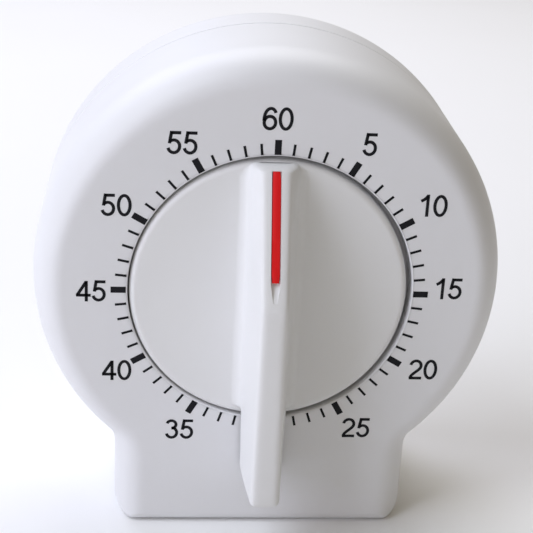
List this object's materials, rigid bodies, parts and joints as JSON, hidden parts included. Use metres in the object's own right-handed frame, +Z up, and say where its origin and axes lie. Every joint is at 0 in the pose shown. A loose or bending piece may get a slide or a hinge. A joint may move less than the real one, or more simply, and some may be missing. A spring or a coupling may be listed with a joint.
{
  "type": "kitchen timer",
  "caption": "Wind-up kitchen timer: round drum on a pedestal foot, turning disc knob with a long lever handle, clockwork and bell inside.",
  "frame": {"origin": "middle of the foot's flat underside", "axes": "+Z up, -Y out of the dial towards the user, +X to the right as the user sees the dial"},
  "size_m": [0.086, 0.0524, 0.092],
  "materials": {
    "shell_plastic": "satin white moulded ABS",
    "knob_plastic": "satin white moulded ABS",
    "red_plastic": "satin red",
    "steel": "bright drawn steel",
    "plate_brass": "stamped and brushed",
    "wheel_brass": "stamped and brushed",
    "spring_steel": "blued",
    "bell_chrome": "plated"
  },
  "bodies": {
    "case": {"front_shell": "shell_plastic", "rear_cover": "shell_plastic", "cover_screws": "steel", "front_plate": "plate_brass", "rear_plate": "plate_brass", "plate_pillars": "steel", "pillar_nuts": "steel", "movement_screws": "steel", "mainspring": "spring_steel", "mainspring_post": "steel", "hairspring": "spring_steel", "hairspring_stud": "steel", "trip_pin": "steel", "trip_spring": "spring_steel", "bell_gong": "bell_chrome", "bell_post": "steel", "bell_screw": "steel"},
    "knob": {"dial_knob": "knob_plastic", "pointer_strip": "red_plastic", "knob_clip": "steel", "main_arbor": "steel", "arbor_ring": "spring_steel", "ratchet_wheel": "steel", "main_wheel": "wheel_brass", "click_rivet": "steel", "click_spring": "spring_steel", "trip_cam": "steel"},
    "click_body": {"click": "steel"},
    "second": {"second_arbor": "steel", "second_wheel": "wheel_brass"},
    "third": {"third_arbor": "steel", "third_wheel": "wheel_brass"},
    "escape": {"escape_arbor": "steel", "escape_wheel": "wheel_brass"},
    "pallet": {"pallet_arbor": "steel", "pallet_lever": "steel"},
    "balance": {"balance_staff": "steel", "balance_wheel": "plate_brass"},
    "strike": {"strike_arbor": "steel", "strike_wheel": "wheel_brass"},
    "hammer": {"hammer_arbor": "steel", "hammer_pallet": "steel", "hammer_arm": "steel", "hammer_head": "steel"},
    "trip": {"trip_lever": "steel"}
  },
  "joints": [
    {"name": "knob_turn", "type": "hinge", "parent": "case", "child": "knob", "pos_m": [0, 0, 0.049], "axis": [0, 1, 0], "range_deg": [0, 360]},
    {"name": "second_spin", "type": "hinge", "parent": "case", "child": "second", "pos_m": [-0.01212, 0, 0.056], "axis": [0, 1, 0], "range_deg": [-2160, 0]},
    {"name": "third_spin", "type": "hinge", "parent": "case", "child": "third", "pos_m": [-0.00624, 0, 0.06618], "axis": [0, 1, 0], "range_deg": [0, 12960]},
    {"name": "escape_spin", "type": "hinge", "parent": "case", "child": "escape", "pos_m": [0.0041, 0, 0.06436], "axis": [0, 1, 0], "range_deg": [-77760, 0]},
    {"name": "strike_spin", "type": "hinge", "parent": "case", "child": "strike", "pos_m": [-0.00362, 0, 0.03548], "axis": [0, 1, 0], "range_deg": [-2160, 0]},
    {"name": "balance_swing", "type": "hinge", "parent": "case", "child": "balance", "pos_m": [0.01424, 0, 0.05325], "axis": [0, 1, 0], "range_deg": [-40, 40], "stiffness_Nm_per_rad": 0.00002},
    {"name": "pallet_rock", "type": "hinge", "parent": "case", "child": "pallet", "pos_m": [0.01044, 0, 0.0614], "axis": [0, 1, 0], "range_deg": [-3, 3]},
    {"name": "hammer_swing", "type": "hinge", "parent": "case", "child": "hammer", "pos_m": [0.00483, 0, 0.0324], "axis": [0, 1, 0], "range_deg": [-8, 6]},
    {"name": "trip_lift", "type": "hinge", "parent": "case", "child": "trip", "pos_m": [0.0155, 0, 0.043], "axis": [0, 1, 0], "range_deg": [0, 6], "stiffness_Nm_per_rad": 0.001, "springref_deg": -17.19},
    {"name": "click_lift", "type": "hinge", "parent": "knob", "child": "click_body", "pos_m": [0.00659, 0, 0.05453], "axis": [0, 1, 0], "range_deg": [0, 8], "stiffness_Nm_per_rad": 0.001, "springref_deg": -17.19}
  ],
  "couplings": [
    {"joint": "second_spin", "follows": "knob_turn", "ratio": -6},
    {"joint": "third_spin", "follows": "knob_turn", "ratio": 36},
    {"joint": "escape_spin", "follows": "knob_turn", "ratio": -216},
    {"joint": "strike_spin", "follows": "knob_turn", "ratio": -6},
    {"joint": "pallet_rock", "follows": "balance_swing", "ratio": -0.075}
  ]
}
